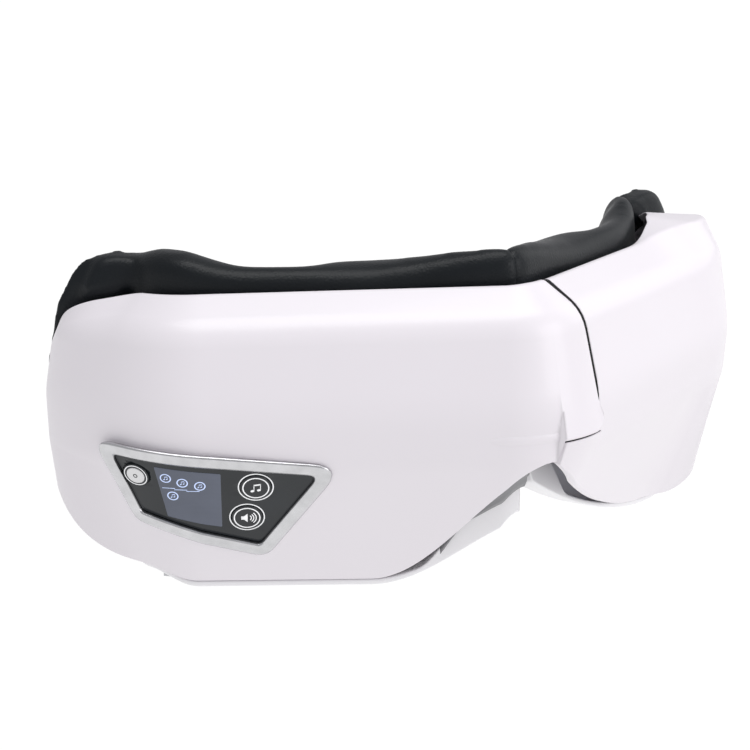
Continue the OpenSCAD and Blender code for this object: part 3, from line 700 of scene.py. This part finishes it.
# ---------- face pads ----------
def puff(obj, cap):
    """Swells a closed soft body with cloth pressure, its seat held and no point moving past cap."""
    rest = [v.co.copy() for v in obj.data.vertices]
    held = obj.vertex_groups.new(name="held")
    for v in obj.data.vertices:
        if depth_of(v.co) < WALL_OUT + 1.1 and v.co.z < 66 * MM:
            held.add([v.index], 1.0, "REPLACE")
    cloth = obj.modifiers.new("cloth", "CLOTH")
    cloth.settings.quality = 4
    cloth.settings.use_pressure = True
    cloth.settings.uniform_pressure_force = 4.0
    cloth.settings.mass = 0.2
    cloth.settings.tension_stiffness = 20
    cloth.settings.compression_stiffness = 20
    cloth.settings.bending_stiffness = 0.6
    cloth.settings.vertex_group_mass = "held"
    cloth.settings.effector_weights.gravity = 0
    for number in range(1, 21):
        bpy.context.scene.frame_set(number)
    swollen = [v.co.copy() for v in obj.evaluated_get(bpy.context.evaluated_depsgraph_get()).data.vertices]
    bpy.context.scene.frame_set(1)
    obj.modifiers.remove(cloth)
    obj.vertex_groups.clear()
    for v, a, b in zip(obj.data.vertices, rest, swollen):
        move = b - a
        if move.length > cap:
            move *= cap / move.length
        v.co = a + move


def depth_of(co):
    """Depth of a point behind the front line, in millimetres."""
    x, y = abs(co.x) / MM, co.y / MM + BODY_DEPTH / 2
    lean = Vector((math.cos(BROW_LEAN), math.sin(BROW_LEAN)))
    start = Vector((NOSE_R * math.sin(BROW_LEAN), NOSE_R * (1 - math.cos(BROW_LEAN))))
    along = (Vector((x, y)) - start).dot(lean)
    if along < 0:
        return NOSE_R - (Vector((x, y)) - Vector((0, NOSE_R))).length
    if along > BROW_LEN:
        centre = start + lean * BROW_LEN + TEMPLE_R * Vector((-lean.y, lean.x))
        return TEMPLE_R - (Vector((x, y)) - centre).length
    return (Vector((x, y)) - start).dot(Vector((-lean.y, lean.x)))


def relax(obj, rounds, factor=0.5):
    made = bmesh.new()
    made.from_mesh(obj.data)
    for _ in range(rounds):
        bmesh.ops.smooth_vert(made, verts=made.verts, factor=factor,
                              use_axis_x=True, use_axis_y=True, use_axis_z=True)
    made.to_mesh(obj.data)
    made.free()


def remesh(obj, size):
    modifier = obj.modifiers.new("remesh", "REMESH")
    modifier.mode = "VOXEL"
    modifier.voxel_size = size * MM
    apply_modifiers(obj)


PAD_NOSE_REACH = 1.7                # how far the pad's nose face is drawn to and past the fold plane
PAD_END_CUT = 0.42                  # where the CAD pad is cut, past the shell's end


def pad_blank(side):
    """The CAD pad without the thin part that wraps the shell's end, drawn past the fold plane."""
    obj = bpy.data.objects.new(WORD[side] + "_face_pad_skin", nodes[WORD[side] + "_face_pad"].data.copy())
    bpy.context.scene.collection.objects.link(obj)
    made = bmesh.new()
    made.from_mesh(obj.data)
    bmesh.ops.remove_doubles(made, verts=made.verts, dist=1e-6)
    at = place(END_S, 0, 0, side)
    b = turn_at(END_S)
    along = Vector((side * math.cos(b), math.sin(b), 0))
    cut_here = bmesh.ops.bisect_plane(made, geom=made.verts[:] + made.edges[:] + made.faces[:],
                                      plane_co=at + PAD_END_CUT * MM * along, plane_no=along,
                                      clear_outer=True)
    edges = [e for e in cut_here["geom_cut"] if isinstance(e, bmesh.types.BMEdge)]
    bmesh.ops.triangle_fill(made, edges=edges, use_beauty=True)
    for v in made.verts:
        if abs(v.co.x) < 1.5 * MM:
            v.co.x -= side * PAD_NOSE_REACH * MM
    made.to_mesh(obj.data)
    made.free()
    return obj


def pad_roll(side):
    """The pad's end: a roll that overhangs the shell's top, and goes down over its end edge."""
    def over_top(s):
        t = smooth((s - END_S + 13) / 10)
        front, base, hi = 19.8 - 10.5 * t, top_at(s) + 0.7, 75.0 + 0.8 * t
        return rounded([(front, base + 1.5 * t, 2.5), (26, base, 1), (26, hi - 1, 3), (front + 4, hi, 5),
                        (front, hi - 4 - 3 * t, 5)], 5)

    def over_end(s):
        t = abs(s - END_S - 1.6) / 1.5
        d = 1.1 * (1 - math.sqrt(max(1 - t * t, 0)))
        return rounded([(1.3 + d, 31 + d, 2), (1.8 + d, 52, 8), (4.2 + d, 65 - d, 9), (9.5 + d, 74.5 - d, 7),
                        (18, 76.3 - d, 5), (27, 75 - d, 5), (30.5 - d, 66, 4), (30.5 - d, 52, 1),
                        (13, 52, 1),
                        (13, 31 + d, 2)], 5)

    first = sweep("roll", steps(END_S - 13, END_S + 1.2, 16), over_top, PAD, side)
    second = sweep("flap", steps(END_S + 0.3, END_S + 2.9, 8), over_end, PAD, side)
    return [first, second]


def face_pad(side):
    obj = pad_blank(side)
    remesh(obj, 1.35)
    relax(obj, 7)
    puff(obj, 1.1 * MM)
    obj.data.materials.clear()
    obj.data.materials.append(PAD)
    join([obj] + pad_roll(side))
    remesh(obj, 0.8)
    relax(obj, 8)
    obj.data.materials.clear()
    obj.data.materials.append(PAD)
    obj.data.shade_smooth()
    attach(obj, BODY[side])
    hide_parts(WORD[side] + "_face_pad")
    pad_seams(obj, side)
    return obj


def pad_seams(pad, side):
    """Piping along the back's upper edge and round the eye opening, sunk to half its thickness."""
    tree = BVHTree.FromObject(pad, bpy.context.evaluated_depsgraph_get())

    def onto(s, z):
        start = place(s, 60, z, side)
        hit = tree.ray_cast(start, place(s, 20, z, side) - start)
        return hit[0]

    upper = [onto(s, 63.5) for s in steps(26, END_S - 4, 90)]
    upper = [p for p in upper if p is not None]
    eye = []
    for k in range(64):
        a = 2 * math.pi * k / 64
        c, v = math.cos(a), math.sin(a)
        grow = 3.4
        s = EYE_S + (EYE_W / 2 + grow) * math.copysign(abs(c) ** 0.8, c)
        z = EYE_Z + (EYE_H / 2 + grow) * math.copysign(abs(v) ** 0.8, v)
        hit = onto(s, z)
        if hit is not None:
            eye.append(hit)
    for name, path, closed in (("upper", upper, False), ("eye", eye, True)):
        seam = tube(f"{WORD[side]}_pad_{name}_seam", path, 0.45 * MM, PIPING, 8, closed)
        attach(seam, BODY[side])


def airbag(side):
    """A slack knitted cushion in the eye opening, crowned towards the eye."""
    rings = []
    for scale, depth in [(1.0, 25.35), (1.0, 25.7), (0.985, 26.3), (0.93, 26.95), (0.8, 27.5), (0.62, 27.85),
                         (0.42, 28.0), (0.2, 28.05), (0.02, 28.06)]:
        ring = []
        for k in range(72):
            a = 2 * math.pi * k / 72
            c, v = math.cos(a), math.sin(a)
            s = EYE_S + scale * (EYE_W - 1.6) / 2 * math.copysign(abs(c) ** 0.77, c)
            z = EYE_Z + scale * (EYE_H - 1.6) / 2 * math.copysign(abs(v) ** 0.77, v)
            pucker = 0.12 * math.sin(a * 18) * smooth((scale - 0.6) / 0.4)
            ring.append(place(s, depth + pucker, z, side))
        rings.append(ring)
    obj = new_object(WORD[side] + "_airbag_cover", *bridge(rings), KNIT)
    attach(obj, BODY[side])
    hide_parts(WORD[side] + "_airbag")


# ---------- nose gaiter ----------
def nose_gaiter():
    """Ribbed web behind the notch, from lobe to lobe, and the sleeve behind the hinge."""
    rings = []
    for q in steps(-8, 27, 46):
        side, s = (LEFT, q) if q >= 0 else (RIGHT, -q)
        back = lip_edge(s, side) + skirt_h(s) - 1.2
        front = max(shell_edge(max(s, 0.2), side) + 2.2, back + 0.8)
        n1 = LIP_IN - 1.2
        n0 = min(max(front_in(front), 0) + 5.4, n1 - 1.2)
        ring = []
        for v in steps(0, 1, 12):
            sag = 1.1 * math.sin(math.pi * v) + 0.22 * math.sin(v * 5 * 2 * math.pi)
            ring.append(place(s, n0 + (n1 - n0) * v + sag, front + (back - front) * v + 0.5 * sag, side))
        rings.append(ring)
    web = new_object("nose_gaiter_web", *bridge(rings, closed=False), GAITER)
    thick = web.modifiers.new("thick", "SOLIDIFY")
    thick.thickness = 0.6 * MM
    apply_modifiers(web)
    rings = []
    half = math.radians(62)
    for a in steps(-half, half, 24):
        ring = []
        for r, z in rounded([(SLEEVE_R - 1, HINGE_Z0 - 3, 0.3), (SLEEVE_R, HINGE_Z0 - 3, 0.4),
                             (SLEEVE_R, HINGE_Z1 + 2.4, 0.4), (SLEEVE_R - 1, HINGE_Z1 + 2.4, 0.3)], 3):
            ring.append(Vector((r * math.sin(a), NOSE_R - BODY_DEPTH / 2 + r * math.cos(a), z)) * MM)
        rings.append(ring)
    sleeve = new_object("nose_gaiter_sleeve", *bridge(rings), GAITER)
    join([web, sleeve])
    web.data.shade_smooth()
    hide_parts("nose_gaiter")
    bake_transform(web)


# ---------- control panel ----------
def ring_plate(name, outlines, depths, material, body, node=None):
    """A band between outlines of (s, z) points at the given depths under the lower face."""
    rings = [[on_face(p, d) for p in loop] for loop, d in zip(filled(outlines, 1.2), depths)]
    rings.append(rings[0])
    obj = new_object(name, *bridge(rings, caps=False), material)
    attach(even_shading(obj), body)
    if node:
        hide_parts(node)
    return obj


def face_patch(name, corners, radius, front, back, material, node=None, holes=()):
    """A thin plate that follows the lower face, filled by rings that shrink to its middle."""
    outline = resample([Vector(p) for p in rounded([(*c, radius) for c in corners], 6)], 1.2)
    centre = sum(outline, Vector((0, 0))) / len(outline)
    rings = [[on_face(centre.lerp(p, k), d) for p in outline]
             for k, d in [(0.01, back), (0.5, back), (1.0, back), (1.0, front + 0.1), (0.995, front)]
             + [(k, front) for k in (0.97, 0.8, 0.6, 0.4, 0.2, 0.01)]]
    obj = new_object(name, *bridge(rings), material)
    for at, radius in holes:
        cut(obj, button_disc("hole", at, radius, -3, 3))
    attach(even_shading(obj), "left_half")
    if node:
        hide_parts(node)
    return obj


def button_frame(at):
    """Origin on the lower face, the viewer's right, up the face, and inwards, on the panel's lobe."""
    b = turn_at(at[0])
    right = Vector((math.cos(b), -math.sin(b), 0))
    inward = Vector((math.sin(b) * math.cos(FACE_TILT), math.cos(b) * math.cos(FACE_TILT),
                     math.sin(FACE_TILT)))
    up = right.cross(inward)
    if up.z < 0:
        up = -up
    return place(at[0], front_in(at[1]), at[1], LEFT), right, up, inward


def in_frame(at, x, y, depth):
    origin, right, up, inward = button_frame(at)
    return origin + (right * x + up * y + inward * depth) * MM


def button_disc(name, at, radius, front, back, material=None, edge=0.0):
    """A turned disc, its front edge rounded over by edge."""
    rings = []
    profile = [(0.02, back), (radius, back), (radius, front + edge)]
    profile += [(radius - edge * (1 - math.cos(t)), front + edge * (1 - math.sin(t)))
                for t in [math.pi / 2 * k / 5 for k in range(1, 6)]]
    profile += [(radius * 0.6, front), (0.02, front)]
    for r, d in profile:
        rings.append([in_frame(at, r * math.cos(t), r * math.sin(t), d)
                      for t in [2 * math.pi * k / 64 for k in range(64)]])
    return new_object(name, *bridge(rings), material or KEY_BLACK)


def annulus(name, at, r0, r1, front, material, squash=1.0, angles=(0, 360), shift=(0, 0)):
    """A printed ring or arc, a few hundredths of a millimetre thick."""
    full = angles[1] - angles[0] >= 360
    count = 64 if full else 20
    turns = [math.radians(angles[0] + (angles[1] - angles[0]) * k / count)
             for k in range(count + (0 if full else 1))]
    rings = []
    for t in turns:
        rings.append([in_frame(at, shift[0] + r * math.cos(t), shift[1] + r * squash * math.sin(t), d)
                      for r, d in ((r0, front + 0.05), (r1, front + 0.05), (r1, front), (r0, front))])
    if full:
        rings.append(rings[0])
    return new_object(name, *bridge(rings, caps=not full), material)


def stamp(name, at, loops, front, material):
    """Flat printed shapes, each a loop of (x, y) in millimetres."""
    points, faces = [], []
    for loop in loops:
        n, base = len(loop), len(points)
        points += [in_frame(at, x, y, front) for x, y in loop]
        points += [in_frame(at, x, y, front + 0.05) for x, y in loop]
        faces.append(tuple(range(base, base + n)))
        faces.append(tuple(range(base + n, base + 2 * n)))
        faces += [(base + i, base + (i + 1) % n, base + n + (i + 1) % n, base + n + i) for i in range(n)]
    return new_object(name, points, faces, material)


def ellipse(x, y, a, b, lean=0.0):
    c, v = math.cos(lean), math.sin(lean)
    return [(x + a * math.cos(t) * c - b * math.sin(t) * v, y + a * math.cos(t) * v + b * math.sin(t) * c)
            for t in [2 * math.pi * k / 20 for k in range(20)]]


def note_loops(k, x=0.0, y=0.0):
    """A pair of beamed notes, k millimetres to the unit."""
    loops = [ellipse(-0.62, -0.72, 0.36, 0.26, 0.35), ellipse(0.55, -0.5, 0.36, 0.26, 0.35),
             [(-0.4, -0.7), (-0.27, -0.7), (-0.27, 0.75), (-0.4, 0.75)],
             [(0.77, -0.48), (0.9, -0.48), (0.9, 0.98), (0.77, 0.98)],
             [(-0.4, 0.45), (0.9, 0.68), (0.9, 1.0), (-0.4, 0.77)]]
    return [[(x + k * px, y + k * py) for px, py in loop] for loop in loops]


def speaker_loops(k):
    return [[(k * px, k * py) for px, py in
             [(-1.1, -0.42), (-0.6, -0.42), (0.1, -1.05), (0.1, 1.05), (-0.6, 0.42), (-1.1, 0.42)]]]


def control_panel():
    bands = [(0.0, 1.3, 1.2), (0.0, 0.1, 1.4), (0.35, -0.5, 1.8), (0.8, -0.8, 2.1), (1.5, -0.95, 2.7),
             (2.5, -0.85, 3.5), (3.05, -0.5, 4.1), (3.3, -0.1, 4.4), (3.3, 0.6, 4.4)]
    ring_plate("panel_bezel_ring", [panel_outline(g, r, 10) for g, d, r in bands], [d for g, d, r in bands],
               SILVER, "left_half", "panel_bezel")
    keys = [(POWER_AT, POWER_R), (MUSIC_AT, KEY_R), (VOLUME_AT, KEY_R)]
    face_patch("panel_glass_pane", PANEL_WINDOW, 1.2, 0.5, 1.6, BLACK_GLASS, "panel_glass",
               [(at, r + 0.08) for at, r in keys])
    face_patch("display_pane", DISPLAY_AT, 0.4, 0.44, 0.52, DISPLAY, "display_module")
    power = button_disc("power_button_cap", POWER_AT, POWER_R, 0.1, 2.2, KEY_BLACK, 0.3)
    middle = button_disc("power_middle", POWER_AT, 2.2, -0.1, 0.6, SILVER_KEY, 0.25)
    mark = annulus("power_mark", POWER_AT, 0.34, 0.52, -0.14, KEY_BLACK)
    join([power, middle, annulus("power_ring", POWER_AT, 2.6, 2.82, 0.06, PRINT), mark])
    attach(power, "power_button")
    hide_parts("power_button")
    for word, at, loops in (("music", MUSIC_AT, note_loops(1.25)),
                            ("volume", VOLUME_AT, speaker_loops(1.2))):
        cap = button_disc(word + "_button_cap", at, KEY_R, 0.1, 2.2, KEY_BLACK, 0.3)
        parts = [cap, annulus("r", at, 2.75, 3.02, 0.06, PRINT), stamp("m", at, loops, 0.06, PRINT)]
        if word == "volume":
            parts += [annulus("w", at, r, r + 0.22, 0.06, PRINT, 1.0, (-48, 48), (0.1, 0))
                      for r in (0.75, 1.3, 1.85)]
        join(parts)
        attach(cap, word + "_button")
        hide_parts(word + "_button")
    rings = join([annulus("q", at, 3.75, 4.02, 0.38, PRINT) for at in (MUSIC_AT, VOLUME_AT)])
    rings.name = "key_ring_print"
    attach(rings, "left_half")
    display_icons()


def display_icons():
    """Small generic icons: four round ones, and a fine line between the rows."""
    parts = []
    for at in ((90.6, 29.9), (86.4, 28.8), (81.9, 28.0), (89.3, 25.2)):
        parts.append(annulus("i", at, 1.02, 1.28, 0.38, ICON))
        parts.append(stamp("n", at, note_loops(0.55), 0.38, ICON))
    for k in range(3):
        at = (90.2 - 3.2 * k, 27.3 - 0.35 * k)
        parts.append(stamp("l", at, [[(-1.4, -0.09), (1.5, -0.09), (1.5, 0.06), (-1.4, 0.06)]], 0.38, ICON))
    icons = join(parts)
    icons.name = "display_icons"
    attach(icons, "left_half")


# ---------- strap ----------
def behind(u, v, side=RIGHT):
    """A place behind a strap anchor, in the plan: along from its root, and depth from its middle."""
    b = turn_at(END_S)
    p = place(END_S, 18.4, 0, RIGHT) / MM
    return Vector((side * (p.x + u * math.cos(b) - v * math.sin(b)),
                   p.y + u * math.sin(b) + v * math.cos(b)))


HOOK = [(15, -0.95), (12.2, -0.95), (10.1, -2.7), (6.6, -2.7), (4.9, -1.2), (4.9, 1.2), (6.6, 2.7),
        (10.1, 2.7), (12.2, 0.95)]


def strap_line():
    """Plan points and lower edge heights along the strap, from the right anchor round to the left."""
    tip = behind(15.5, 0.95)

    def low(a):
        lift = ANCHOR_Z - STRAP_W / 2
        return lift - (lift - 0.3) * smooth(math.sin(a) * 1.15)

    hook = [behind(u, v) for u, v in HOOK]
    soft = [hook[0]]
    for a, b in zip(hook, hook[1:]):
        soft += [a.lerp(b, 0.25), a.lerp(b, 0.75)]
    line = [(p, low(0)) for p in soft]
    for a in steps(0, math.pi, 150):
        x = tip.x * math.copysign(abs(math.cos(a)) ** 0.75, math.cos(a))
        line.append((Vector((x, tip.y + (STRAP_BACK - 6) * abs(math.sin(a)) ** 0.9)), low(a)))
    line += [(Vector((-p.x, p.y)), low(0)) for p in reversed(soft)]
    return line


def head_strap():
    line = strap_line()
    section = [(x, z) for x, z in rounded([(-STRAP_T / 2, 0, 0.6), (STRAP_T / 2, 0, 0.6),
                                           (STRAP_T / 2, STRAP_W, 0.6), (-STRAP_T / 2, STRAP_W, 0.6)], 3)]
    rings = []
    for i, (p, low) in enumerate(line):
        along = (line[min(i + 1, len(line) - 1)][0] - line[max(i - 1, 0)][0]).normalized()
        across = Vector((-along.y, along.x))
        rings.append([Vector((*(p + across * x), low + z)) * MM for x, z in section])
    strap = new_object("head_strap_band", *bridge(rings), WEBBING)
    stitches = []
    for side in (LEFT, RIGHT):
        for u in (13.1, 14.4):
            for k in range(13):
                z = ANCHOR_Z - STRAP_W / 2 + 2 + k * (STRAP_W - 4) / 12
                a, b = behind(u, 1.78, side), behind(u + 0.15, 1.78, side)
                path = [Vector((*a, z)) * MM, Vector((*a.lerp(b, 0.5), z + 0.6)) * MM,
                        Vector((*b, z + 1.2)) * MM]
                stitches.append(tube("stitch", path, 0.16 * MM, THREAD, 6, False))
    join([strap] + stitches)
    strap.data.shade_smooth()
    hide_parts("head_strap")
    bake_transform(strap)


for side in (LEFT, RIGHT):
    front_shell(side)
    rear_casing(side)
    face_pad(side)
    airbag(side)
nose_gaiter()
control_panel()
head_strap()


# ---------- floor, light and camera ----------
FLOOR_REACH, FLOOR_BACK, FLOOR_DROP = 8, 12, 0.0003        # metres
AMBIENT = 0.5
CAMERA_AT = (-0.3129, -0.5024, 0.1983)
CAMERA_LENS = 119.26


def floor():
    material, _, shader, _ = build("floor_white", (0.02, 0.02, 0.02), 0.7)
    shader.inputs["Specular IOR Level"].default_value = 0.1
    shader.inputs["Emission Color"].default_value = (1, 1, 1, 1)
    shader.inputs["Emission Strength"].default_value = 1.0
    corners = [(-FLOOR_REACH, -FLOOR_REACH, 0), (FLOOR_REACH, -FLOOR_REACH, 0),
               (FLOOR_REACH, FLOOR_BACK, 0), (-FLOOR_REACH, FLOOR_BACK, 0)]
    plane = new_object("studio_floor", corners, [(0, 1, 2, 3)], material)
    plane.location.z = -FLOOR_DROP


def softbox(name, where, size, power, color=(1, 1, 1)):
    data = bpy.data.lights.new(name, "AREA")
    data.shape = "RECTANGLE"
    data.size, data.size_y = size
    data.energy = power
    data.color = color
    obj = bpy.data.objects.new(name, data)
    bpy.context.scene.collection.objects.link(obj)
    obj.location = where
    obj.rotation_mode = "QUATERNION"
    obj.rotation_quaternion = (Vector((0, 0, 0.04)) - Vector(where)).to_track_quat("-Z", "Y")


def studio():
    world = bpy.data.worlds.new("studio")
    world.use_nodes = True
    world.node_tree.nodes["Background"].inputs["Color"].default_value = (0.97, 0.97, 1.0, 1)
    world.node_tree.nodes["Background"].inputs["Strength"].default_value = AMBIENT
    bpy.context.scene.world = world
    softbox("key_over", (0.0, -0.2, 0.95), (0.8, 0.5), 5.0)
    softbox("fill_right", (0.55, -0.9, 0.4), (0.6, 0.6), 3.0, (1.0, 0.98, 1.0))
    softbox("rim_right", (0.85, 0.0, 0.5), (0.5, 0.7), 1.0)
    bpy.context.scene.view_settings.view_transform = "Standard"
    bpy.context.scene.view_settings.look = "None"


def camera():
    """Seen from the panel's side, a little above."""
    azimuth, elevation, roll = -0.55, 0.267, 0.006
    back = Vector((math.sin(azimuth) * math.cos(elevation), -math.cos(azimuth) * math.cos(elevation),
                   math.sin(elevation)))
    right = (-back).cross(Vector((0, 0, 1))).normalized()
    up = right.cross(-back)
    right, up = (math.cos(roll) * right + math.sin(roll) * up, -math.sin(roll) * right + math.cos(roll) * up)
    data = bpy.data.cameras.new("camera")
    data.sensor_width = 36.0
    data.lens = CAMERA_LENS
    data.clip_start, data.clip_end = 0.02, 60
    obj = bpy.data.objects.new("camera", data)
    bpy.context.scene.collection.objects.link(obj)
    turn = Matrix((right, up, back)).transposed().to_4x4()
    obj.matrix_world = Matrix.Translation(CAMERA_AT) @ turn
    bpy.context.scene.camera = obj


floor()
studio()
camera()
